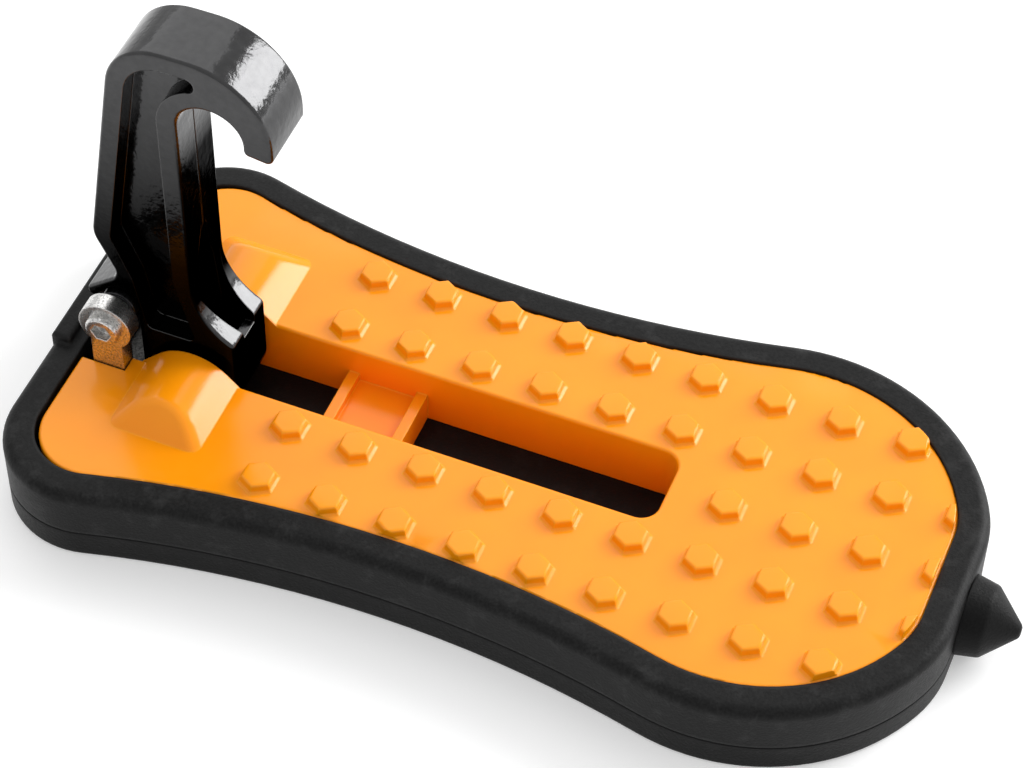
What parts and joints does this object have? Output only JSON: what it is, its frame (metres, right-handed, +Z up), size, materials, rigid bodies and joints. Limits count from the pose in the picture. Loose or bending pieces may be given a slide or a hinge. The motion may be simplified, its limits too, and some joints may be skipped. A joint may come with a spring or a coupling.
{
  "type": "door latch step",
  "caption": "Car-side foot step with a folding hook that hangs on a door striker, a studded cast plate in a rubber tray, and a hammer tip.",
  "frame": {"origin": "on the flat underside of the rubber tray, below the middle of the rim's length", "axes": "+X towards the hammer tip, +Z up out of the foot plate, +Y across, towards the side with the stop nut"},
  "size_m": [0.2062, 0.098, 0.1057],
  "materials": {
    "orange_coat": "satin orange coating on an aluminium casting",
    "black_rubber": "fine grained matte rubber",
    "black_gloss": "gloss black coating on a casting",
    "bright_steel": "bare bright steel, lightly speckled",
    "plain_steel": "zinc plated",
    "black_matte": "matte black"
  },
  "bodies": {
    "foot": {"foot_plate": "orange_coat", "rubber_base": "black_rubber", "hinge_washers": "plain_steel", "pin_cap_near": "orange_coat", "pin_cap_far": "orange_coat", "cap_screws": "plain_steel", "stop_bracket": "bright_steel", "bracket_screws": "plain_steel", "stop_bolt": "bright_steel", "stop_sleeve": "plain_steel", "stop_washer": "plain_steel", "stop_nut": "plain_steel", "hammer_tip": "black_matte", "hammer_washer": "plain_steel", "hammer_nut": "plain_steel", "base_screws": "plain_steel", "base_washers": "plain_steel"},
    "hook": {"hook_arm": "black_gloss", "hinge_pin": "plain_steel"}
  },
  "joints": [
    {"name": "hook_fold", "type": "hinge", "parent": "foot", "child": "hook", "pos_m": [-0.0667, 0, 0.013], "axis": [0, 1, 0], "range_deg": [0, 80]}
  ]
}
